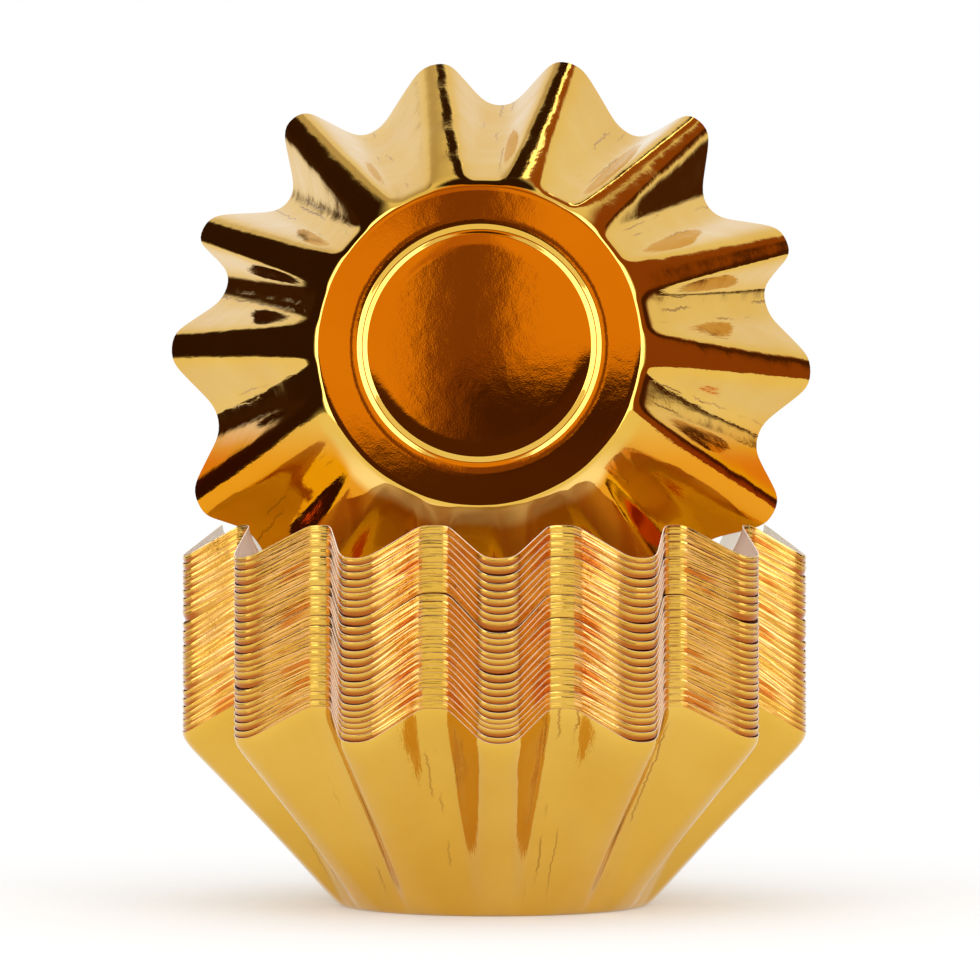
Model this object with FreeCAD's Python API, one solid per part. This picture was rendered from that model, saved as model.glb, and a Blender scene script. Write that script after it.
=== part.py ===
import FreeCAD
import Part
import math
import os

# A nested stack of fluted gold foil cupcake liners, with one more liner tipped on its side
# in the mouth of the top one. Millimetres, +Z up. The origin is the middle of the flat base
# that the stack stands on, and -Y is the side that the tipped liner's base faces.

V = FreeCAD.Vector

# One liner, spread as it stands in the stack
FLUTES = 14
BASE_RADIUS = 25.0
RIDGE_RIM_RADIUS = 50.3
RIDGE_RIM_HEIGHT = 27.8
GROOVE_RIM_RADIUS = 43.4
RIDGE_RIM_WIDTH = 4.4
GROOVE_RIM_WIDTH = 4.0
RIDGE_SHARE_AT_BASE = 0.54
PAPER = 0.3

# The ring pressed into the base
RING_RADIUS = 17.75
RING_WIDTH = 1.6
RING_DEPTH = 0.4

# The stack
LINERS = 26
SEAT_AIR = 0.055
LOOSE_SEAT_AIR = 0.075
FIRST_LOOSE_LINER = 14
SLIPPED_UP = {15: 0.2, 18: 0.5}
STACK_TURN = 0.93

# The tipped liner
TIPPED_BASE_X = -2.2
TIPPED_BASE_Y = -39.2
TIPPED_TILT = 4.75
TIPPED_YAW = -3.0
TIPPED_ROLL = 11.27
REST_AIR = 0.1

PITCH_ANGLE = 360.0 / FLUTES

# The blank is round, so a ridge and a groove are equally long from base to rim.
SLANT = math.hypot(RIDGE_RIM_RADIUS - BASE_RADIUS, RIDGE_RIM_HEIGHT)
GROOVE_RIM_HEIGHT = math.sqrt(SLANT ** 2 - (GROOVE_RIM_RADIUS - BASE_RADIUS) ** 2)


def around(radius, degrees, height, across=0.0):
    """A point at an angle round the axis, moved sideways by across."""
    turn = math.radians(degrees)
    return V(
        radius * math.cos(turn) - across * math.sin(turn),
        radius * math.sin(turn) + across * math.cos(turn),
        height,
    )


def inward_normal(corners):
    """The unit normal of a wall facet, on the side of the food."""
    normal = (corners[1] - corners[0]).cross(corners[2] - corners[0])
    normal.normalize()
    return normal if normal.z > 0 else normal * -1.0


def meet(point, demands):
    """The point reached by the one move that has these lengths along these three directions."""
    (a, la), (b, lb), (c, lc) = demands
    volume = a.dot(b.cross(c))
    move = b.cross(c) * la + c.cross(a) * lb + a.cross(b) * lc
    return point + move * (1.0 / volume)


class Flute:
    """The outer and inner corners of half a flute, from a ridge's middle to a groove's."""

    def __init__(self):
        self.groove_angle = PITCH_ANGLE / 2
        heel_angle = PITCH_ANGLE * RIDGE_SHARE_AT_BASE / 2
        self.heel = around(BASE_RADIUS, heel_angle, 0)
        self.ridge = around(RIDGE_RIM_RADIUS, 0, RIDGE_RIM_HEIGHT, RIDGE_RIM_WIDTH / 2)
        self.groove = around(
            GROOVE_RIM_RADIUS, self.groove_angle, GROOVE_RIM_HEIGHT, -GROOVE_RIM_WIDTH / 2
        )
        across_ridge = V(0, 1, 0)
        across_groove = around(0, self.groove_angle, 0, 1.0)
        up = V(0, 0, 1)
        on_ridge = inward_normal([self.heel, self.ridge, self.ridge - across_ridge])
        on_groove = inward_normal([self.heel, self.groove, self.groove + across_groove])
        self.on_flank = inward_normal([self.heel, self.ridge, self.groove])
        ridge_fold = self.ridge - self.heel
        groove_fold = self.groove - self.heel
        self.heel_inside = meet(
            self.heel, [(up, PAPER), (on_ridge, PAPER), (on_groove, PAPER)]
        )
        self.ridge_inside = meet(
            self.ridge, [(on_ridge, PAPER), (self.on_flank, PAPER), (ridge_fold, 0.0)]
        )
        self.groove_inside = meet(
            self.groove, [(on_groove, PAPER), (self.on_flank, PAPER), (groove_fold, 0.0)]
        )


def turned(point, number, mirrored=False):
    """A corner of half flute carried to the flute of this number, or to its other half."""
    angle = math.radians(number * PITCH_ANGLE)
    y = -point.y if mirrored else point.y
    return V(
        point.x * math.cos(angle) - y * math.sin(angle),
        point.x * math.sin(angle) + y * math.cos(angle),
        point.z,
    )


def wall_facets(heel, ridge, groove):
    """One skin of the fluted wall: ridge flats, groove flats and a flank on each side."""
    facets = []
    for k in range(FLUTES):
        heel_left, heel_right = turned(heel, k, True), turned(heel, k)
        ridge_left, ridge_right = turned(ridge, k, True), turned(ridge, k)
        groove_near, groove_far = turned(groove, k), turned(groove, k + 1, True)
        next_heel, next_ridge = turned(heel, k + 1, True), turned(ridge, k + 1, True)
        facets.append([heel_left, heel_right, ridge_right, ridge_left])
        facets.append([heel_right, groove_near, ridge_right])
        facets.append([heel_right, next_heel, groove_far, groove_near])
        facets.append([next_heel, next_ridge, groove_far])
    return facets


def cut_edge_facets(flute):
    """The cut edge of the paper, square to the wall all along the waving rim."""
    facets = []
    for k in range(FLUTES):
        for number, mirrored in ((k, False), (k + 1, True)):
            low, low_inside, high, high_inside = (
                turned(corner, number, mirrored)
                for corner in (flute.ridge, flute.ridge_inside, flute.groove, flute.groove_inside)
            )
            facets.append([low, high, high_inside])
            facets.append([low, high_inside, low_inside])
        ridge = [turned(flute.ridge, k, True), turned(flute.ridge, k)]
        ridge_inside = [turned(flute.ridge_inside, k), turned(flute.ridge_inside, k, True)]
        groove = [turned(flute.groove, k), turned(flute.groove, k + 1, True)]
        groove_inside = [turned(flute.groove_inside, k + 1, True), turned(flute.groove_inside, k)]
        facets.append(ridge + ridge_inside)
        facets.append(groove + groove_inside)
    return facets


def base_rim(heel):
    """The corners of the base, in order round the axis."""
    corners = []
    for k in range(FLUTES):
        corners += [turned(heel, k, True), turned(heel, k)]
    return corners


def ring_corners(radius, height):
    """The base's corners drawn in to a radius, so that the ring's facets line up with them."""
    return [
        V(p.x * radius / BASE_RADIUS, p.y * radius / BASE_RADIUS, height)
        for p in base_rim(Flute().heel)
    ]


def flat_face(corners, hole=None):
    outline = Part.makePolygon(corners + corners[:1])
    if not hole:
        return Part.Face(outline)
    return Part.makeFace([outline, Part.makePolygon(hole + hole[:1])], "Part::FaceMakerBullseye")


def band_faces(outer, inner):
    """A ring of flat facets between two rings of corners."""
    n = len(outer)
    return [
        flat_face([outer[i], outer[(i + 1) % n], inner[(i + 1) % n], inner[i]])
        for i in range(n)
    ]


def base_faces(rim, height, with_ring):
    """One skin of the base, flat or with the ring pressed up into it."""
    if not with_ring:
        return [flat_face(rim)]
    outside = ring_corners(RING_RADIUS + RING_WIDTH / 2, height)
    crest = ring_corners(RING_RADIUS, height + RING_DEPTH)
    inside = ring_corners(RING_RADIUS - RING_WIDTH / 2, height)
    faces = [flat_face(rim, outside), flat_face(inside)]
    return faces + band_faces(outside, crest) + band_faces(crest, inside)


def liner_solid(with_ring):
    """One liner as it was pressed: base, heel, fluted wall and cut rim in one sheet of paper."""
    flute = Flute()
    facets = wall_facets(flute.heel, flute.ridge, flute.groove)
    facets += wall_facets(flute.heel_inside, flute.ridge_inside, flute.groove_inside)
    facets += cut_edge_facets(flute)
    faces = [flat_face(corners) for corners in facets]
    faces += base_faces(base_rim(flute.heel), 0.0, with_ring)
    faces += base_faces(base_rim(flute.heel_inside), PAPER, with_ring)
    solid = Part.makeSolid(Part.makeShell(faces))
    if solid.Volume < 0:
        solid.reverse()
    return solid


def seat_heights():
    """How high each liner's base sits: every wall wedges in the wall below it."""
    steepness = Flute().on_flank.z
    heights = [0.0]
    for number in range(2, LINERS + 1):
        air = LOOSE_SEAT_AIR if number >= FIRST_LOOSE_LINER else SEAT_AIR
        rise = (PAPER + air) / steepness + SLIPPED_UP.get(number, 0.0)
        heights.append(heights[-1] + rise)
    return heights


def stack_placement(height):
    return FreeCAD.Placement(V(0, 0, height), FreeCAD.Rotation(V(0, 0, 1), STACK_TURN - 90))


def tipped_placement(height):
    """Axis level but for the tilt, base toward -Y, with its own turn about its axis."""
    tilt, yaw = math.radians(TIPPED_TILT), math.radians(TIPPED_YAW)
    outward = V(math.sin(yaw) * math.cos(tilt), -math.cos(yaw) * math.cos(tilt), math.sin(tilt))
    sideways = V(math.cos(yaw), math.sin(yaw), 0)
    upward = sideways.cross(outward)
    if upward.z < 0:
        upward = upward * -1.0
    roll = math.radians(TIPPED_ROLL)
    ridge_way = upward * math.cos(roll) - sideways * math.sin(roll)
    opening_way = outward * -1.0
    third = opening_way.cross(ridge_way)
    matrix = FreeCAD.Matrix(
        ridge_way.x, third.x, opening_way.x, TIPPED_BASE_X,
        ridge_way.y, third.y, opening_way.y, TIPPED_BASE_Y,
        ridge_way.z, third.z, opening_way.z, height,
        0, 0, 0, 1,
    )
    return FreeCAD.Placement(matrix)


def placed(solid, placement):
    copy = solid.copy()
    copy.Placement = placement
    return copy


def lowered_to_rest(solid, below):
    """The tipped liner let down, by its own clearance each time, until it rests on the stack."""
    height = below.BoundBox.ZMax + RIDGE_RIM_RADIUS
    while True:
        tipped = placed(solid, tipped_placement(height))
        clearance = tipped.distToShape(below)[0]
        if clearance <= REST_AIR:
            return tipped
        height -= clearance - REST_AIR / 2


def main():
    os.makedirs("parts", exist_ok=True)
    plain, ringed = liner_solid(False), liner_solid(True)
    for number, height in enumerate(seat_heights(), 1):
        pressed = ringed if number in (1, LINERS) else plain
        liner = placed(pressed, stack_placement(height))
        liner.exportStep("parts/liner_%02d.step" % number)
    lowered_to_rest(ringed, liner).exportStep("parts/tipped_liner.step")


main()
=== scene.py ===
import math

import bpy
import numpy as np
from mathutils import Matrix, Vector

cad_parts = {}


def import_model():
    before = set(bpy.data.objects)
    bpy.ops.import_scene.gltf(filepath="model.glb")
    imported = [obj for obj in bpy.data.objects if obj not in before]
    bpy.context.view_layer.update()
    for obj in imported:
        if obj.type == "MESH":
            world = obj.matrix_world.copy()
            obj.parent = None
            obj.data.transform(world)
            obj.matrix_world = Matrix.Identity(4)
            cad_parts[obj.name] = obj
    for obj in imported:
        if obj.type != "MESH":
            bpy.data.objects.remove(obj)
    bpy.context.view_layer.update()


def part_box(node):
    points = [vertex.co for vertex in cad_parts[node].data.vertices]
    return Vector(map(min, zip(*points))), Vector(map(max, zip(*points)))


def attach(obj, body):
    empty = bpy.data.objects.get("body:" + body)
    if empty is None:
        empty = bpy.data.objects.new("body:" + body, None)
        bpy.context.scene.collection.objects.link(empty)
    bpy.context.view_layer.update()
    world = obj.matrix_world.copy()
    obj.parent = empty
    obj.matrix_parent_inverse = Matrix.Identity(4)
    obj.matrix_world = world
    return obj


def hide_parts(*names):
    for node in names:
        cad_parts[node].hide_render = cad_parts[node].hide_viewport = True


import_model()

# A nested stack of fluted gold foil cupcake liners, and one more liner tipped on its side in the
# mouth of the top one. Lengths are millimetres where nothing else is said.
MM = 0.001

# One pressed liner, with the sizes of the CAD source
FLUTES = 14
BASE_RADIUS = 25.0
RIDGE_RIM_RADIUS = 50.3
RIDGE_RIM_HEIGHT = 27.8
GROOVE_RIM_RADIUS = 43.4
RIDGE_RIM_WIDTH = 4.4
GROOVE_RIM_WIDTH = 4.0
SLANT = math.hypot(RIDGE_RIM_RADIUS - BASE_RADIUS, RIDGE_RIM_HEIGHT)
BLANK_RADIUS = BASE_RADIUS + SLANT
GROOVE_RIM_HEIGHT = math.sqrt(SLANT ** 2 - (GROOVE_RIM_RADIUS - BASE_RADIUS) ** 2)
PITCH = 2 * math.pi / FLUTES
# Where the folds beside a ridge and a groove meet the base, in pitches from the ridge's middle
FOLDS_AT_BASE = (0.19, 0.34)
PAPER = 0.16
RING_RADIUS = 17.75
RING_HALF_WIDTH = 0.85
RING_DEPTH = 0.45
# The ring's section: shares of its half width, and how deep it is there
RING_SECTION = ([0, 0.06, 0.14, 0.84, 0.93, 1.0], [1.0, 0.98, 0.92, 0.10, 0.02, 0.0])
BASE_BULGE = 0.3
# The heel's rounding takes in this much of the base and of the wall
HEEL_ON_BASE = 0.8
HEEL_ON_WALL = 3.0

# The stack. Its liners stand a little steeper just below the rim: at ridges and at grooves.
LINERS = 26
STACK_TURN = math.radians(0.93 - 90.0)
STACK_BOW = (0.92, 0.72)
NO_BOW = (0.0, 0.0)
BOW_LENGTH = 1.3
# Each gap between two rims opens and closes a little on its way round
GAP_SPREAD = 0.2
GAP_LIMITS = (-0.35, 0.45)
LIFT_LIMIT = 0.7
GAP_SEED = 7

# The tipped liner's place
TIPPED_BASE = (-2.2, -39.2, 87.585)
TIPPED_TILT = math.radians(4.75)
TIPPED_YAW = math.radians(-3.0)
TIPPED_ROLL = math.radians(11.27)
# How far fingers have moved each ridge and groove of its rim, out and round (in degrees)
SPREAD_OUT = [-1.3, -1.1, -0.4, 0.1, 0.8, -0.4, 0.5, 1.2, 0.2, 0, 0, 0, 0, 0,
              0, 0, 0, 0, 0, 2.3, 0.3, 0.4, 0.0, 0.6, 0.2, -1.3, 0.2, -0.9]
SPREAD_ROUND = [1.0, 0.2, -0.2, 2.6, 0.2, 0.1, 1.1, -2.5, -0.5, -0.2, -0.1, 0.6, 0.4, -0.7,
                0.3, 0.8, -0.5, 0.4, -0.6, 0.5, -1.0, 0.9, 2.0, 3.0, -1.3, -0.5, -1.2, -2.5]

# Points of a flute as it is worked out, and the columns of it that are kept
FINE = 96
COLUMNS = 32
# Spread of the rounding at ridges and at grooves, in fine points
STACK_ROUNDING = (4.8, 2.2)
TIPPED_ROUNDING = (5.0, 5.5)
HEEL_ROUNDING = 4.0
# Columns are counted from the ridge at the far side
FIRST_RIDGE = -FLUTES // 2

# Rows of points: radii on the base, steps over the heel, shares of the way up the wall
RING_STEPS = [0.06, 0.14, 0.5, 0.84, 0.93, 1.0]
RING_SHARES = [-share for share in RING_STEPS[::-1]] + [0.0] + RING_STEPS
RING_ROWS = [RING_RADIUS + RING_HALF_WIDTH * share for share in RING_SHARES]
FULL_BASE = [3, 7, 11, 14.5] + RING_ROWS + [20.0, 22.0, 23.6]
FULL_WALL = [0.03, 0.07, 0.12, 0.18, 0.25, 0.32, 0.4, 0.48, 0.56, 0.64, 0.72, 0.8,
             0.87, 0.915, 0.95, 0.97, 0.985, 1.0]
TIPPED_ROWS = (FULL_BASE, 8, FULL_WALL)
SEEN_ROWS = (FULL_BASE, 6, FULL_WALL)
HIDDEN_ROWS = ([12.0], 2, [0.4, 0.8, 0.9, 0.94, 0.965, 0.985, 1.0])

# The photograph's camera, millimetres and pixels of a 980 pixel frame
FRAME_PX = 980.0
CAMERA_BACK = 742.0
CAMERA_HEIGHT = 61.3
CAMERA_PITCH = math.radians(-0.36)
FOCAL_PX = 4648.3
CENTRE_PX = 3.7


def smooth_round(values, sigma):
    """Blurs a closed curve by a Gaussian of sigma samples."""
    turns = np.fft.fftfreq(len(values))
    weight = np.exp(-2 * (math.pi * turns * sigma) ** 2)
    return np.real(np.fft.ifft(np.fft.fft(values, axis=0) * weight[:, None], axis=0))


def turned(points, angle):
    """Points turned round the axis, by one angle each."""
    c, s = np.cos(angle), np.sin(angle)
    x, y = points[:, 0], points[:, 1]
    return np.stack([x * c - y * s, x * s + y * c, points[:, 2]], 1)


def rim_and_heel(rounding):
    """The waving rim and the base circle, matched point to point, with COLUMNS points a flute."""
    half_ridge, half_groove = RIDGE_RIM_WIDTH / 2, GROOVE_RIM_WIDTH / 2
    c, s = math.cos(PITCH / 2), math.sin(PITCH / 2)
    corners = np.array([
        [RIDGE_RIM_RADIUS, 0, RIDGE_RIM_HEIGHT],
        [RIDGE_RIM_RADIUS, half_ridge, RIDGE_RIM_HEIGHT],
        [
            GROOVE_RIM_RADIUS * c + half_groove * s,
            GROOVE_RIM_RADIUS * s - half_groove * c,
            GROOVE_RIM_HEIGHT,
        ],
        [GROOVE_RIM_RADIUS * c, GROOVE_RIM_RADIUS * s, GROOVE_RIM_HEIGHT],
    ])
    flank = np.linalg.norm(corners[2] - corners[1])
    whole = RIDGE_RIM_WIDTH + GROOVE_RIM_WIDTH + 2 * flank
    knots = np.array([0, half_ridge / whole, 0.5 - half_groove / whole, 0.5])
    on_flute = np.arange(FINE) / FINE
    from_ridge = np.minimum(on_flute, 1 - on_flute)
    first_half = on_flute <= 0.5
    side = np.where(first_half, 1.0, -1.0)
    unit = np.stack([np.interp(from_ridge, knots, corners[:, i]) for i in range(3)], 1)
    unit[:, 1] *= side
    heel_knots = np.array([0, FOLDS_AT_BASE[0] * PITCH, FOLDS_AT_BASE[1] * PITCH, PITCH / 2])
    heel_angle = np.interp(from_ridge, knots, heel_knots) * side
    at_base = np.tile([BASE_RADIUS, 0.0, 0.0], (FINE, 1))
    rim, heel = [], []
    for k in range(FLUTES):
        # the second half of each flute belongs to the next ridge
        turn = (np.where(first_half, k, k + 1) + FIRST_RIDGE) * PITCH
        rim.append(turned(unit, turn))
        heel.append(turned(at_base, heel_angle + turn))
    rim = np.vstack(rim)
    at_ridge = np.tile(0.5 + 0.5 * np.cos(2 * math.pi * on_flute), FLUTES)[:, None]
    rim = smooth_round(rim, rounding[0]) * at_ridge + smooth_round(rim, rounding[1]) * (1 - at_ridge)
    heel = smooth_round(np.vstack(heel), HEEL_ROUNDING)
    heel *= (BASE_RADIUS / np.linalg.norm(heel[:, :2], axis=1))[:, None]
    heel[:, 2] = 0
    step = FINE // COLUMNS
    return rim[::step], heel[::step]


def wave(columns, knots):
    """A smooth closed wave through one value for each ridge and groove in turn, at every column."""
    count = len(knots)
    place = np.arange(columns) / columns * count
    before = np.floor(place).astype(int)
    share = place - before
    share = share * share * (3 - 2 * share)
    values = np.asarray(knots, float)
    return values[before % count] * (1 - share) + values[(before + 1) % count] * share


def bead(radius):
    """How far the pressed ring stands up into the liner at this radius."""
    return RING_DEPTH * float(np.interp(abs(radius - RING_RADIUS) / RING_HALF_WIDTH, *RING_SECTION))


def skin(rim, heel, rows_of, bulge, bow):
    """The liner's outside as rows of points from the middle of the base to the rim."""
    base_radii, heel_steps, wall_shares = rows_of
    slope = math.atan2(RIDGE_RIM_RADIUS - BASE_RADIUS, RIDGE_RIM_HEIGHT)
    outward = heel / BASE_RADIUS * math.cos(slope)
    outward[:, 2] = -math.sin(slope)
    along = rim - heel
    along /= np.linalg.norm(along, axis=1)[:, None]
    at_ridge = 0.5 + 0.5 * np.cos(2 * math.pi * np.arange(len(rim)) / COLUMNS)[:, None]
    bow_here = bow[0] * at_ridge + bow[1] * (1 - at_ridge)
    flat = BASE_RADIUS - HEEL_ON_BASE
    start = heel * (flat / BASE_RADIUS)
    end = heel + along * HEEL_ON_WALL
    rows = []
    for radius in base_radii:
        row = heel * (radius / BASE_RADIUS)
        row[:, 2] = bead(radius) - bulge * (1 - (radius / flat) ** 2)
        rows.append(row)
    for i in range(heel_steps + 1):
        t = i / heel_steps
        rows.append(start * (1 - t) ** 2 + heel * 2 * t * (1 - t) + end * t * t)
    for share in wall_shares:
        below_rim = (1 - share) * SLANT
        out = bow_here * (1 - math.exp(-below_rim / BOW_LENGTH)) * share * share
        rows.append(end + (rim - end) * share + outward * out)
    return np.array(rows)


def normals(grid):
    """Unit normals of rows that close on themselves, pointing to the outside of the liner."""
    across = np.roll(grid, -1, 1) - np.roll(grid, 1, 1)
    along = np.gradient(grid, axis=0)
    found = np.cross(along, across)
    found /= np.maximum(np.linalg.norm(found, axis=2), 1e-12)[..., None]
    if found[len(found) // 2, 0, 2] > 0:
        found = -found
    found[0] = (0, 0, -1.0)
    return found


def build_liner(node_name, outer, placement, materials, number):
    """A closed sheet: foil skin outside, paper skin inside, and the cut edge between them."""
    name = "foil_" + node_name
    inner = outer - normals(outer) * PAPER
    rows, columns = outer.shape[:2]
    middle = outer[0, :, 2].mean()
    points = np.vstack([
        [[0, 0, middle]],
        outer.reshape(-1, 3),
        [[0, 0, middle + PAPER]],
        inner.reshape(-1, 3),
    ])
    half = 1 + rows * columns
    first_length = np.linalg.norm(outer[0, 0])
    lengths = np.linalg.norm(np.diff(outer[:, 0], axis=0), axis=1)
    up = np.cumsum(np.concatenate([[first_length], lengths]))
    up += BLANK_RADIUS - up[-1]
    j = np.arange(columns)
    nxt = (j + 1) % columns
    around = j / columns * FLUTES + FLUTES * number
    around_next = around + FLUTES / columns
    faces, slots, ways = [], [], []

    def add(corners, way, slot, flip):
        """Adds a band of faces; way gives each corner its place on the paper."""
        corners = np.stack(corners, 1)
        way = np.stack([np.stack(np.broadcast_arrays(*place), 1) for place in way], 1)
        if flip:
            corners, way = corners[:, ::-1], way[:, ::-1]
        faces.extend(corners.tolist())
        ways.append(way.reshape(-1, 2))
        slots.extend([slot] * columns)

    def band_way(low, high):
        return [(around, low), (around_next, low), (around_next, high), (around, high)]

    for middle_point, flip, slot in ((0, False, 0), (half, True, 1)):
        first = middle_point + 1
        way = [(around, 0.0), (around_next, up[0]), (around, up[0])]
        add([np.full(columns, middle_point), first + nxt, first + j], way, slot, flip)
        for i in range(rows - 1):
            a, b = first + i * columns, first + (i + 1) * columns
            add([a + j, a + nxt, b + nxt, b + j], band_way(up[i], up[i + 1]), slot, flip)
    out_rim = 1 + (rows - 1) * columns
    in_rim = half + out_rim
    cut_edge = [out_rim + j, out_rim + nxt, in_rim + nxt, in_rim + j]
    add(cut_edge, band_way(up[-1], up[-1]), 2, False)

    world_points = (points @ np.array(placement[0]).T + np.array(placement[1])) * MM
    mesh = bpy.data.meshes.new(name)
    mesh.from_pydata(world_points.tolist(), [], faces)
    for material in materials:
        mesh.materials.append(material)
    mesh.polygons.foreach_set("material_index", np.array(slots, np.int32))
    mesh.polygons.foreach_set("use_smooth", np.ones(len(faces), bool))
    # ridges counted round the wall, and millimetres of paper from the middle of the base
    attribute = mesh.attributes.new("paper_way", "FLOAT2", "CORNER")
    attribute.data.foreach_set("vector", np.vstack(ways).astype(np.float32).ravel())
    mesh.update()
    edges = np.zeros(len(mesh.edges) * 2, np.int32)
    mesh.edges.foreach_get("vertices", edges)
    edges = edges.reshape(-1, 2)
    on_out = (edges >= out_rim).all(1) & (edges < out_rim + columns).all(1)
    on_in = (edges >= in_rim).all(1)
    sharp = mesh.attributes.new("sharp_edge", "BOOLEAN", "EDGE")
    sharp.data.foreach_set("value", on_out | on_in)
    piece = bpy.data.objects.new(name, mesh)
    bpy.context.scene.collection.objects.link(piece)
    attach(piece, "root")
    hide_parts(node_name)


def upright(height):
    """The turn and place of a liner in the stack."""
    c, s = math.cos(STACK_TURN), math.sin(STACK_TURN)
    return [[c, -s, 0], [s, c, 0], [0, 0, 1]], (0, 0, height)


def tipped():
    """The tipped liner's turn and place, from its tilt, its yaw and its own roll."""
    tilt, yaw, roll = TIPPED_TILT, TIPPED_YAW, TIPPED_ROLL
    outward = np.array([
        math.sin(yaw) * math.cos(tilt), -math.cos(yaw) * math.cos(tilt), math.sin(tilt)
    ])
    sideways = np.array([math.cos(yaw), math.sin(yaw), 0])
    upward = np.cross(sideways, outward)
    if upward[2] < 0:
        upward = -upward
    ridge_way = upward * math.cos(roll) - sideways * math.sin(roll)
    opening_way = -outward
    third = np.cross(opening_way, ridge_way)
    return np.array([ridge_way, third, opening_way]).T, TIPPED_BASE


# Colours of the foil
WHITE = (1, 1, 1, 1)
GOLD_DEEP = (0.72, 0.42, 0.045, 1)
GOLD_PALE = (0.76, 0.47, 0.070, 1)
# painted reflection: the flanks of the pressed strips are painted a deeper orange than the ridges
FLANK_PAINTED_REFLECTION = (0.84, 0.40, 0.040, 1)
STRIPE_GOLD = (0.96, 0.56, 0.17, 1)
# painted shade: orange patches where the gap between two rims opens
GAP_PAINTED_SHADE_ORANGE = (0.66, 0.17, 0.004, 1)
# painted shade: brown near the crevice with the liner below
PAINTED_SHADE_BROWN = (0.42, 0.105, 0.005, 1)
# painted reflection: deeper orange on the tipped liner's lower flutes, with its gloss tint
PAINTED_REFLECTION_ORANGE = (0.76, 0.29, 0.012, 1)
PAINTED_REFLECTION_EDGE = (0.85, 0.35, 0.05, 1)
# painted reflection: the lower side of the tipped liner's heel painted paler
HEEL_PAINTED_REFLECTION = (1.0, 0.68, 0.20, 1)
# painted shade in the creases' brown lines
CREASE_PAINTED_SHADE = (0.26, 0.085, 0.008, 1)

# The foil's unevenness: heights in millimetres
GRAIN = 0.0020
BUCKLE_ON_BASE = 0.009
BUCKLE_ON_WALL = 0.035
SWAY = 0.22
STREAK = 0.02
FINE_LINE = 0.09
CREASE_DEPTH = 0.02
# Creases: where in the flute, and how long their wobbles are
CREASES = [(0.5, 4.0), (0.41, 3.0), (0.59, 5.0)]
COAT = 0.35

# The paper's colours, from its darker to its lighter fibres
INSIDE_PAPER = ((0.84, 0.78, 0.69, 1), (0.92, 0.88, 0.81, 1))
# painted light: the cut edge is the paper painted lighter and warmer than its inside
EDGE_PAPER_PAINTED_LIGHT = ((0.95, 0.81, 0.64, 1), (0.98, 0.91, 0.79, 1))


def new_material(name):
    material = bpy.data.materials.new(name)
    material.use_nodes = True
    tree = material.node_tree
    return material, tree, tree.nodes["Principled BSDF"]


def node(tree, kind, **values):
    """A new node with these inputs or settings."""
    made = tree.nodes.new(kind)
    for key, value in values.items():
        if key in made.inputs:
            made.inputs[key].default_value = value
        else:
            setattr(made, key, value)
    return made


class Maths:
    """Short names for the number nodes of one tree."""

    def __init__(self, tree):
        self.tree = tree

    def put(self, socket, value):
        if isinstance(value, (int, float, tuple)):
            socket.default_value = value
        else:
            self.tree.links.new(value, socket)

    def do(self, operation, a, b=0.0):
        made = node(self.tree, "ShaderNodeMath", operation=operation)
        self.put(made.inputs[0], a)
        self.put(made.inputs[1], b)
        return made.outputs[0]

    def times(self, first, *others):
        for other in others:
            first = self.do("MULTIPLY", first, other)
        return first

    def plus(self, first, *others):
        for other in others:
            first = self.do("ADD", first, other)
        return first

    def minus(self, a, b):
        return self.do("SUBTRACT", a, b)

    def ramp(self, value, low, high):
        """0 at low and 1 at high, eased; low may be above high."""
        made = node(self.tree, "ShaderNodeMapRange", interpolation_type="SMOOTHSTEP")
        made.inputs["From Min"].default_value = low
        made.inputs["From Max"].default_value = high
        self.put(made.inputs["Value"], value)
        return made.outputs["Result"]

    def mix(self, share, a, b):
        """Colour a where share is 0 and b where it is 1."""
        made = node(self.tree, "ShaderNodeMix", data_type="RGBA")
        self.put(made.inputs["Factor"], share)
        self.put(made.inputs[6], a)
        self.put(made.inputs[7], b)
        return made.outputs[2]

    def join(self, x, y, z=0.0):
        made = node(self.tree, "ShaderNodeCombineXYZ")
        for socket, value in zip(made.inputs, (x, y, z)):
            self.put(socket, value)
        return made.outputs[0]

    def split(self, vector):
        made = node(self.tree, "ShaderNodeSeparateXYZ")
        self.put(made.inputs["Vector"], vector)
        return tuple(made.outputs)

    def noise(self, vector, **values):
        made = node(self.tree, "ShaderNodeTexNoise", **values)
        self.put(made.inputs["Vector"], vector)
        return made.outputs["Fac"]

    def paper_noise(self, across, along, detail):
        """Noise that follows the paper: these many steps a flute and a millimetre."""
        return self.noise(self.join(across, along), Scale=1.0, Detail=detail)


def crease(m, across, along, spot, wobble_length, number):
    """1 on one thin jagged line in each flute, near share spot of it, and 0 beside it."""
    flute = m.do("FLOOR", across)
    own = m.noise(m.join(m.times(flute, 3.7), number * 11.3), Scale=1.0, Detail=0.0)
    wobble = m.noise(
        m.join(m.times(flute, 5.1), m.do("DIVIDE", along, wobble_length), number),
        Scale=1.0, Detail=5.0, Roughness=0.8,
    )
    place = m.plus(m.times(m.minus(own, 0.5), 0.12), spot)
    place = m.plus(m.times(m.minus(wobble, 0.5), 0.10), place)
    away = m.do("ABSOLUTE", m.minus(m.do("FRACT", across), place))
    line = m.ramp(away, 0.010, 0.001)
    shown = m.noise(m.join(m.times(flute, 2.3), m.times(along, 0.07), number * 7.0), Scale=1.0)
    return m.times(line, m.ramp(shown, 0.52, 0.60))


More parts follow.
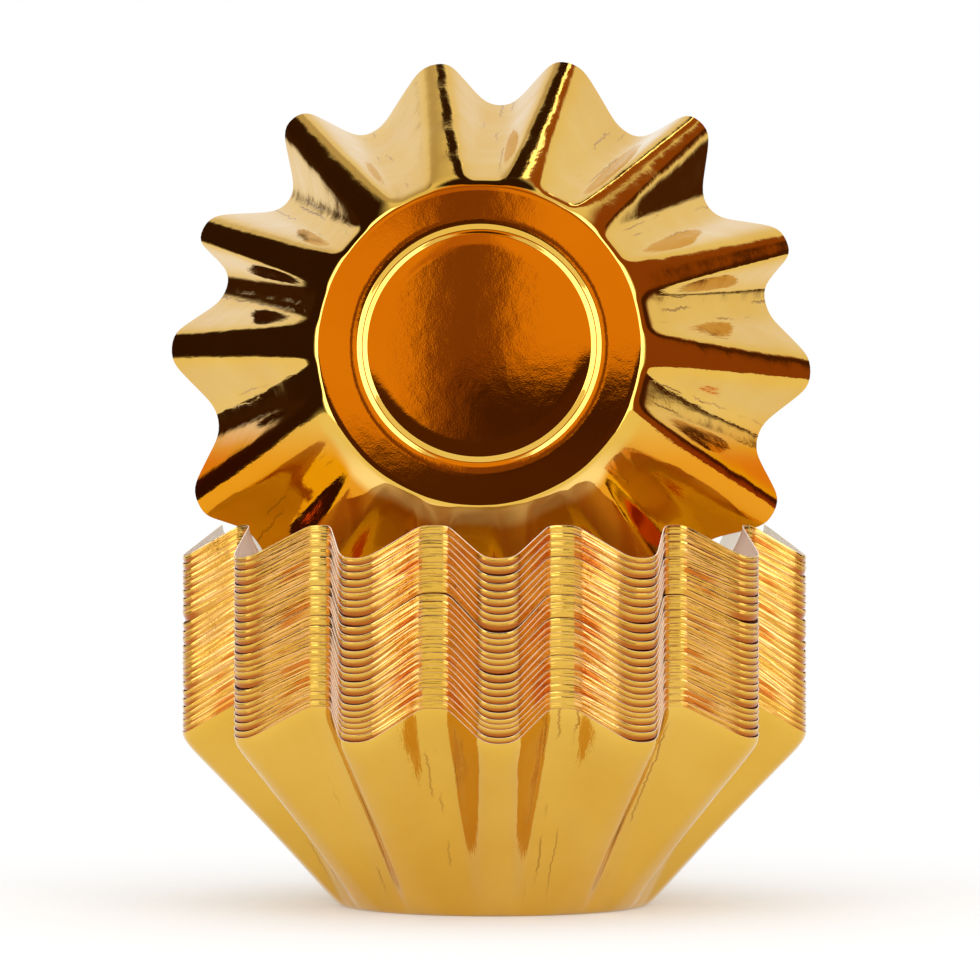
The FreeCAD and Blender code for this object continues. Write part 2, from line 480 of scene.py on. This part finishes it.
def pressed_tint(m, tint, toward_groove, below_rim, fine_line, across, along):
    """The strips between the rims of the stack: striped, with painted reflection on the flanks,
    painted shade where gaps open, and browner painted shade toward the liner below.
    """
    flank = m.times(m.ramp(toward_groove, 0.18, 0.40), m.ramp(toward_groove, 0.885, 0.855))
    on_ridge = m.ramp(toward_groove, 0.40, 0.20)
    # painted reflection: the flanks deeper orange than the ridges
    tint = m.mix(m.times(flank, 0.55), tint, FLANK_PAINTED_REFLECTION)
    striped = m.times(m.ramp(fine_line, 0.46, 0.60), flank, 0.85)
    tint = m.mix(striped, tint, STRIPE_GOLD)
    # painted shade: orange where a gap gapes
    painted_gap_shade = m.paper_noise(m.times(across, 1.7), m.times(along, 0.2), 1.0)
    painted_gap_shade = m.times(m.ramp(painted_gap_shade, 0.54, 0.62), flank, m.ramp(toward_groove, 0.42, 0.62))
    painted_gap_shade = m.times(painted_gap_shade, m.ramp(below_rim, 0.12, 0.35), 0.9)
    tint = m.mix(painted_gap_shade, tint, GAP_PAINTED_SHADE_ORANGE)
    # painted shade: browner toward the liner below, most on the ridges
    weight = m.plus(m.times(on_ridge, 0.95), m.times(flank, 0.28), 0.05)
    return m.mix(m.times(m.ramp(below_rim, 0.05, 0.85), weight), tint, PAINTED_SHADE_BROWN)


def foil_material(name, pressed):
    """Gold foil: pressed between two liners of the stack, or on a wall that stands free."""
    material, tree, shader = new_material(name)
    link = tree.links.new
    m = Maths(tree)
    shader.inputs["Metallic"].default_value = 1.0
    # clear lacquer over the metal
    shader.inputs["Coat Weight"].default_value = COAT
    shader.inputs["Coat Roughness"].default_value = 0.08
    place = node(tree, "ShaderNodeTexCoord").outputs["Object"]
    way = node(tree, "ShaderNodeAttribute", attribute_name="paper_way")
    across, along, _ = m.split(way.outputs["Vector"])
    on_wall = m.ramp(along, 26.0, 34.0)

    cloud = m.noise(place, Scale=60.0, Detail=4.0)
    grain = m.noise(place, Scale=4200.0, Detail=2.0)
    buckle = m.noise(place, Scale=330.0, Detail=3.0)
    sway = m.noise(place, Scale=120.0, Detail=1.0)
    streak = m.paper_noise(m.times(across, 38.0), m.times(along, 0.45), 3.0)
    height = m.plus(
        m.times(grain, GRAIN),
        m.times(buckle, m.plus(m.times(on_wall, BUCKLE_ON_WALL), BUCKLE_ON_BASE)),
        m.times(sway, on_wall, SWAY),
        m.times(m.minus(streak, 0.5), on_wall, STREAK),
    )
    colour = node(tree, "ShaderNodeValToRGB")
    for element, position, gold in zip(
        colour.color_ramp.elements, (0.35, 0.7), (GOLD_DEEP, GOLD_PALE)
    ):
        element.position = position
        element.color = gold
    link(cloud, colour.inputs["Fac"])
    tint = colour.outputs["Color"]

    if pressed:
        # 0 in the middle of a ridge and 1 in the middle of a groove
        toward_groove = m.do("ABSOLUTE", m.minus(m.times(m.do("FRACT", across), 2.0), 1.0))
        toward_groove = m.minus(1.0, toward_groove)
        below_rim = m.minus(BLANK_RADIUS, along)
        fine_line = m.paper_noise(m.times(across, 2.6), m.times(along, 2.8), 3.0)
        tint = pressed_tint(m, tint, toward_groove, below_rim, fine_line, across, along)
        height = m.plus(height, m.times(fine_line, FINE_LINE))
    else:
        # the tipped liner's ridges are counted up to FLUTES, and the lowest liner's on from there
        tipped_one = m.do("LESS_THAN", across, FLUTES + 0.0001)
        # painted reflection: its lower flutes are painted a deeper orange, with a warmer gloss tint
        # and less coat, as if mirroring the gold below them
        above_table = m.split(place)[2]
        painted_warm_reflection = m.times(m.ramp(above_table, 0.079, 0.069), m.ramp(along, 26.5, 29.0))
        painted_warm_reflection = m.times(painted_warm_reflection, tipped_one, 0.95)
        tint = m.mix(painted_warm_reflection, tint, PAINTED_REFLECTION_ORANGE)
        link(m.mix(painted_warm_reflection, WHITE, PAINTED_REFLECTION_EDGE), shader.inputs["Specular Tint"])
        link(m.times(m.minus(1.0, painted_warm_reflection), COAT), shader.inputs["Coat Weight"])
        # painted reflection: the lower side of its heel is painted paler, for the bright paper under
        # it
        heel = m.times(m.ramp(along, 24.8, 25.6), m.ramp(along, 30.0, 27.5))
        heel = m.times(heel, tipped_one, m.ramp(above_table, 0.073, 0.067), 0.85)
        tint = m.mix(heel, tint, HEEL_PAINTED_REFLECTION)
        # creases: a real dent in the bump, and painted shade in their brown lines
        lines = 0.0
        for number, (spot, wobble_length) in enumerate(CREASES, 1):
            line = crease(m, across, along, spot, wobble_length, float(number))
            lines = m.do("MAXIMUM", line, lines)
        lines = m.times(lines, on_wall)
        tint = m.mix(m.times(lines, 0.55), tint, CREASE_PAINTED_SHADE)
        height = m.minus(height, m.times(lines, CREASE_DEPTH))
    link(tint, shader.inputs["Base Color"])

    rough = m.plus(m.times(cloud, 0.04), 0.012, m.times(on_wall, 0.045))
    link(rough, shader.inputs["Roughness"])
    bump = node(tree, "ShaderNodeBump", Strength=1.0, Distance=MM)
    link(height, bump.inputs["Height"])
    link(bump.outputs["Normal"], shader.inputs["Normal"])
    link(bump.outputs["Normal"], shader.inputs["Coat Normal"])
    return material


def paper_material(name, dark, light):
    material, tree, shader = new_material(name)
    link = tree.links.new
    shader.inputs["Roughness"].default_value = 0.7
    place = node(tree, "ShaderNodeTexCoord").outputs["Object"]
    fibre = Maths(tree).noise(place, Scale=900.0, Detail=5.0)
    colour = node(tree, "ShaderNodeValToRGB")
    colour.color_ramp.elements[0].color = dark
    colour.color_ramp.elements[1].color = light
    link(fibre, colour.inputs["Fac"])
    link(colour.outputs["Color"], shader.inputs["Base Color"])
    bump = node(tree, "ShaderNodeBump", Strength=0.25, Distance=0.00005)
    link(fibre, bump.inputs["Height"])
    link(bump.outputs["Normal"], shader.inputs["Normal"])
    return material


def rim_lifts():
    """How far each liner's rim is lifted at each ridge and groove, none at the ends of the stack."""
    rng = np.random.default_rng(GAP_SEED)
    gaps = np.clip(rng.normal(0, GAP_SPREAD, (LINERS, 2 * FLUTES)), *GAP_LIMITS)
    lift = np.cumsum(gaps, axis=0)
    share = (np.arange(LINERS) / (LINERS - 1))[:, None]
    lift = lift - lift[:1] * (1 - share) - lift[-1:] * share
    return np.clip(lift, -LIFT_LIMIT, LIFT_LIMIT)


def spread(rim):
    """The tipped liner's rim, moved out and round its axis."""
    out = wave(len(rim), np.roll(SPREAD_OUT, -2 * FIRST_RIDGE))
    round_axis = np.radians(wave(len(rim), np.roll(SPREAD_ROUND, -2 * FIRST_RIDGE)))
    moved = rim.copy()
    moved[:, :2] *= (1 + out / np.linalg.norm(rim[:, :2], axis=1))[:, None]
    return turned(moved, round_axis)


def liners():
    free_foil = foil_material("gold_foil", False)
    pressed_foil = foil_material("gold_foil_pressed", True)
    paper = (
        paper_material("white_paper", *INSIDE_PAPER),
        # painted light: the cut edge's paper is painted lighter and warmer
        paper_material("paper_edge_painted_light", *EDGE_PAPER_PAINTED_LIGHT),
    )
    rim, heel = rim_and_heel(STACK_ROUNDING)
    for number, lift in enumerate(rim_lifts(), 1):
        name = "liner_%02d" % number
        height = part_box(name)[0].z / MM
        lifted = rim.copy()
        lifted[:, 2] += wave(len(rim), lift)
        rows_of = SEEN_ROWS if number in (1, LINERS) else HIDDEN_ROWS
        outer = skin(lifted, heel, rows_of, 0.0, STACK_BOW)
        foil = free_foil if number == 1 else pressed_foil
        build_liner(name, outer, upright(height), (foil,) + paper, number)
    rim, heel = rim_and_heel(TIPPED_ROUNDING)
    outer = skin(spread(rim), heel, TIPPED_ROWS, BASE_BULGE, NO_BOW)
    build_liner("tipped_liner", outer, tipped(), (free_foil,) + paper, 0)


FLOOR_SIZE = 0.32
FLOOR_GREY = 0.8
TENT = (1.0, 0.985, 0.96, 1)
WORLD_LIGHT = 0.97

# What stands round the object, seen only in what the foil mirrors: degrees right of the front and
# up from level, how soft the edges are, and the colour
CARDS = {
    # name: from, to, low, high, soft, colour
    "grey panel, left": (-166, -130, 46, 66, 8, (0.62, 0.56, 0.50)),
    "dim room": (-46, 30, -70, 80, 5, (0.94, 0.36, 0.020)),
    "dim ceiling": (-42, 30, 30, 56, 8, (0.42, 0.14, 0.018)),
    "dark wall, left": (-132, -78, -16, 58, 5, (0.034, 0.013, 0.002)),
    "dark door, left": (-141, -126, -6, 25, 4, (0.045, 0.016, 0.002)),
    "brown wall, right": (68, 111, -26, 56, 4, (0.31, 0.085, 0.012)),
    "dark edge, right": (97, 110, -26, 30, 4, (0.07, 0.020, 0.003)),
    "dark stand, right": (104, 121, -32, -9, 3, (0.07, 0.020, 0.003)),
    "dark door, right": (121, 142, -26, 8, 5, (0.07, 0.022, 0.003)),
    "brown beam overhead": (112, 142, 55, 72, 3, (0.36, 0.11, 0.014)),
    "dark beam overhead": (150, 200, 61, 76, 3, (0.035, 0.014, 0.002)),
    "dark beam overhead, left": (-200, -160, 61, 76, 3, (0.035, 0.014, 0.002)),
    "dark ceiling": (-200, 200, 73, 100, 3, (0.035, 0.014, 0.002)),
    "lamp overhead": (142, 149, 56, 72, 1, (3.0, 2.9, 2.6)),
    "softbox, left": (-74, -47, -14, 58, 2, (3.0, 3.2, 4.4)),
    "softbox, right": (31, 63, -14, 58, 2, (3.0, 3.2, 4.4)),
    "shelf": (-10.5, -5.0, 15.4, 30, 1.0, (0.60, 0.19, 0.020)),
    "tripod": (-8.0, -5.3, -70, 18, 0.5, (0.26, 0.075, 0.014)),
    "dark table, right": (-6.8, 30, -70, 10.8, 0.5, (0.07, 0.020, 0.003)),
    "dark table": (-46, 30, -70, 8.6, 0.8, (0.09, 0.026, 0.004)),
}

# Soft lamps for the paper: place in metres
LAMPS = {
    "lamp_left": (-0.62, -0.70, 0.45),
    "lamp_right": (0.62, -0.70, 0.45),
}
LAMP_WIDTH = 0.5
LAMP_WATTS = 1.8
LAMP_COLOUR = (1.0, 0.98, 0.95)
LAMP_AIM = (0, 0, 0.06)


def lamps():
    """Soft light from the front on either side."""
    for name, place in LAMPS.items():
        data = bpy.data.lights.new(name, "AREA")
        data.energy = LAMP_WATTS
        data.color = LAMP_COLOUR
        data.size = LAMP_WIDTH
        lamp = bpy.data.objects.new(name, data)
        aim = Vector(LAMP_AIM) - Vector(place)
        lamp.rotation_euler = aim.to_track_quat("-Z", "Y").to_euler()
        lamp.location = place
        lamp.visible_glossy = False
        lamp.visible_camera = False
        bpy.context.scene.collection.objects.link(lamp)


def floor():
    """White floor that keeps the object's shadow, for the camera and for the foil."""
    far = FLOOR_SIZE
    corners = [(-far, -far, 0), (far, -far, 0), (far, far, 0), (-far, far, 0)]
    mesh = bpy.data.meshes.new("floor")
    mesh.from_pydata(corners, [], [(0, 1, 2, 3)])
    plane = bpy.data.objects.new("floor", mesh)
    bpy.context.scene.collection.objects.link(plane)
    material, tree, shader = new_material("floor")
    shader.inputs["Base Color"].default_value = (FLOOR_GREY, FLOOR_GREY, FLOOR_GREY, 1)
    shader.inputs["Roughness"].default_value = 1.0
    shader.inputs["Specular IOR Level"].default_value = 0.0
    shader.inputs["Emission Color"].default_value = WHITE
    m = Maths(tree)
    ray = node(tree, "ShaderNodeLightPath")
    seen = m.do("MAXIMUM", ray.outputs["Is Camera Ray"], ray.outputs["Is Glossy Ray"])
    seen = m.do("MAXIMUM", seen, ray.outputs["Is Transmission Ray"])
    tree.links.new(m.times(seen, 1 - FLOOR_GREY), shader.inputs["Emission Strength"])
    mesh.materials.append(material)


def window(m, value, low, high, soft):
    """1 between low and high, with soft edges."""
    return m.times(m.ramp(value, low - soft, low + soft), m.ramp(value, high + soft, high - soft))


def world():
    """White all round; what the foil mirrors also has the studio's dark and warm parts."""
    studio = bpy.data.worlds.new("studio")
    bpy.context.scene.world = studio
    studio.use_nodes = True
    # what lights the paper is evenly white, so it needs no light samples of its own
    studio.cycles.sampling_method = "NONE"
    tree = studio.node_tree
    tree.nodes.clear()
    link = tree.links.new
    m = Maths(tree)
    x, y, z = m.split(node(tree, "ShaderNodeTexCoord").outputs["Generated"])
    right_of_front = m.do("ARCTAN2", x, m.times(y, -1.0))
    above_level = m.do("ARCSINE", z)
    tent = TENT
    for *degrees, colour in CARDS.values():
        start, end, low, high, soft = (math.radians(angle) for angle in degrees)
        share = m.times(
            window(m, right_of_front, start, end, soft), window(m, above_level, low, high, soft)
        )
        tent = m.mix(share, tent, colour + (1,))
    mirrored = node(tree, "ShaderNodeBackground")
    link(tent, mirrored.inputs["Color"])
    plain = node(tree, "ShaderNodeBackground")
    plain.inputs["Color"].default_value = WHITE
    ray = node(tree, "ShaderNodeLightPath")
    strength = m.plus(m.times(ray.outputs["Is Camera Ray"], 1 - WORLD_LIGHT), WORLD_LIGHT)
    link(strength, plain.inputs["Strength"])
    choose = node(tree, "ShaderNodeMixShader")
    link(ray.outputs["Is Glossy Ray"], choose.inputs["Fac"])
    link(plain.outputs["Background"], choose.inputs[1])
    link(mirrored.outputs["Background"], choose.inputs[2])
    out = node(tree, "ShaderNodeOutputWorld")
    link(choose.outputs["Shader"], out.inputs["Surface"])


def camera():
    data = bpy.data.cameras.new("camera")
    data.sensor_width = 36.0
    data.lens = FOCAL_PX / FRAME_PX * data.sensor_width
    data.shift_x = -CENTRE_PX / FRAME_PX
    data.clip_start, data.clip_end = 0.01, 20.0
    eye = bpy.data.objects.new("camera", data)
    eye.location = (0, -CAMERA_BACK * MM, CAMERA_HEIGHT * MM)
    eye.rotation_euler = (math.pi / 2 - CAMERA_PITCH, 0, 0)
    bpy.context.scene.collection.objects.link(eye)
    bpy.context.scene.camera = eye


liners()
floor()
world()
lamps()
camera()
bpy.context.scene.view_settings.view_transform = "Standard"
